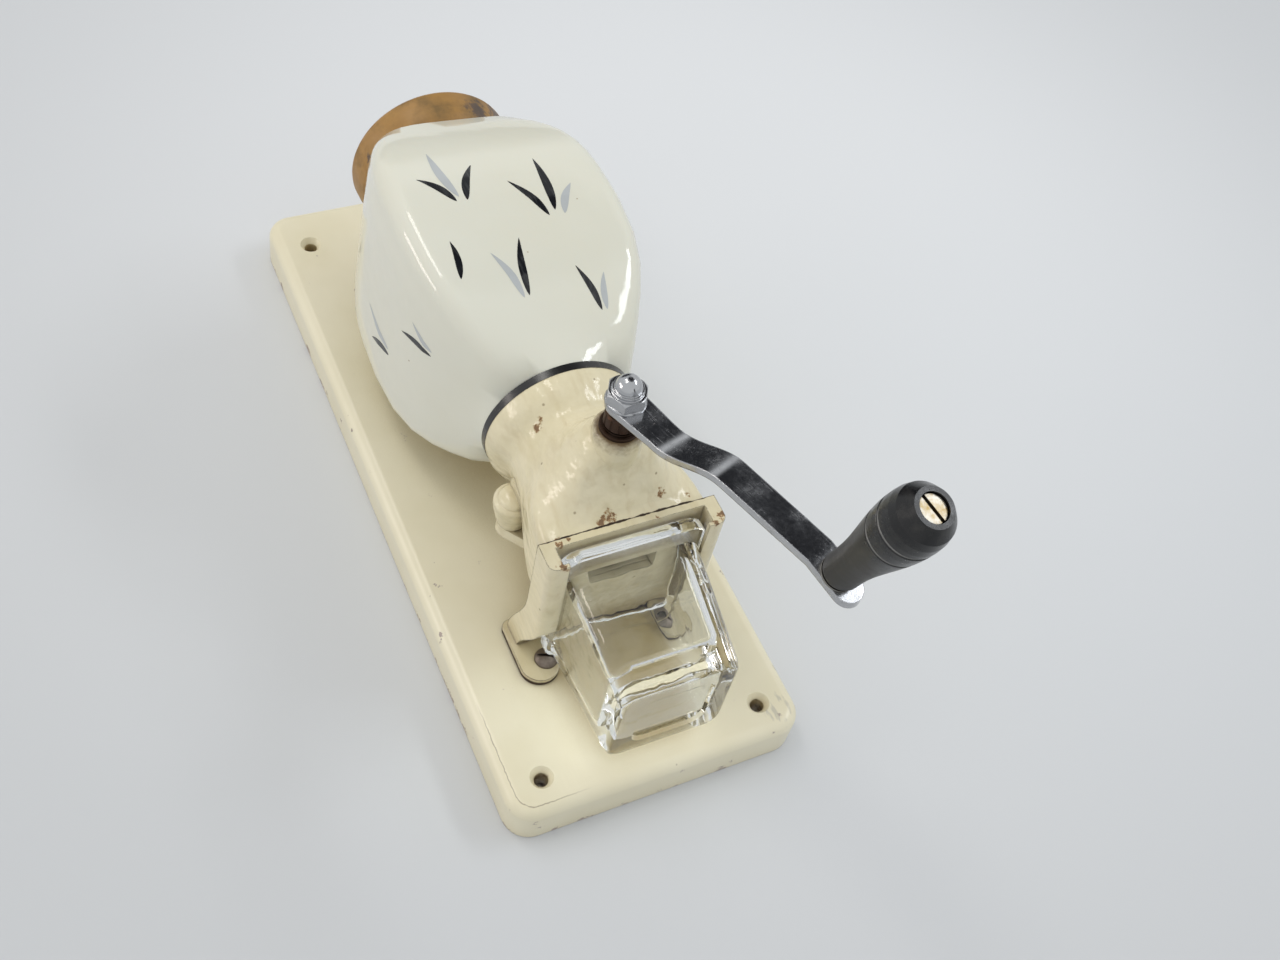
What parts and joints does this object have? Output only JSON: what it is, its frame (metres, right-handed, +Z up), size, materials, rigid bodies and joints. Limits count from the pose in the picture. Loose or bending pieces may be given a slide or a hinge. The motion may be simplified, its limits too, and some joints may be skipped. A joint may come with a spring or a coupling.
{
  "type": "wall coffee and spice mill",
  "caption": "Wall mill on a painted board: ceramic hopper with a lid, cast grinding head, hand crank with a turning grip, and a glass cup that slides out.",
  "frame": {"origin": "midway between the four wall screw holes, on the board's back", "axes": "+Y into the wall, the mill's front towards -Y; +Z up, from the glass cup to the hopper; +X to the right of someone who faces the front"},
  "size_m": [0.115, 0.1925, 0.3247],
  "materials": {
    "cream_enamel_wood": "wood painted with cream enamel, raw wood in the holes",
    "cream_enamel_cast": "cast metal, cream stoving enamel with rust at the chips",
    "cream_enamel_sheet": "folded sheet steel, cream enamel",
    "ceramic_glaze": "glossy white glaze with thin dark and grey strokes",
    "black_gasket": "glossy black ring",
    "zinc_steel": "plain steel",
    "turned_wood": "turned wood with worn brown varnish",
    "dark_steel": "steel browned with age",
    "cast_burr": "hardened casting",
    "chromed_bar": "chromed steel with fine pits",
    "nickel_screw": "nickelled brass, worn",
    "black_grip": "turned wood, black lacquer",
    "clear_glass": "pressed clear glass"
  },
  "bodies": {
    "board_and_casting": {"backboard": "cream_enamel_wood", "housing": "cream_enamel_cast", "rear_cover": "cream_enamel_cast", "cup_carrier": "cream_enamel_sheet", "hopper": "ceramic_glaze", "foot_gasket": "black_gasket", "hopper_strap": "zinc_steel", "hopper_bolt": "zinc_steel", "front_bush": "dark_steel", "burr_ring": "cast_burr", "foot_screw_left": "dark_steel", "foot_screw_right": "dark_steel", "ear_screw_left": "zinc_steel", "ear_screw_right": "zinc_steel", "upper_screw": "zinc_steel", "rivet_left": "cream_enamel_sheet", "rivet_right": "cream_enamel_sheet"},
    "crank": {"shaft": "dark_steel", "burr_cone": "cast_burr", "burr_pin": "zinc_steel", "thrust_washer": "dark_steel", "adjusting_collar": "dark_steel", "crank_arm": "chromed_bar", "hub_washer": "chromed_bar", "cap_nut": "chromed_bar", "grip_washer": "zinc_steel", "grip_spindle": "nickel_screw"},
    "crank_grip": {"grip": "black_grip"},
    "hopper_lid": {"lid": "turned_wood"},
    "cup": {"glass_cup": "clear_glass"}
  },
  "joints": [
    {"name": "crank_turn", "type": "hinge", "parent": "board_and_casting", "child": "crank", "pos_m": [0, -0.1, -0.065], "axis": [0, 1, 0], "continuous": true},
    {"name": "grip_turn", "type": "hinge", "parent": "crank", "child": "crank_grip", "pos_m": [0.03027, -0.13589, -0.14816], "axis": [0.1, -0.9563, -0.2747], "continuous": true},
    {"name": "lid_lift", "type": "slide", "parent": "board_and_casting", "child": "hopper_lid", "axis": [0, 0, 1], "range_m": [0, 0.04]},
    {"name": "cup_slide", "type": "slide", "parent": "board_and_casting", "child": "cup", "axis": [0, -1, 0], "range_m": [0, 0.04]}
  ]
}
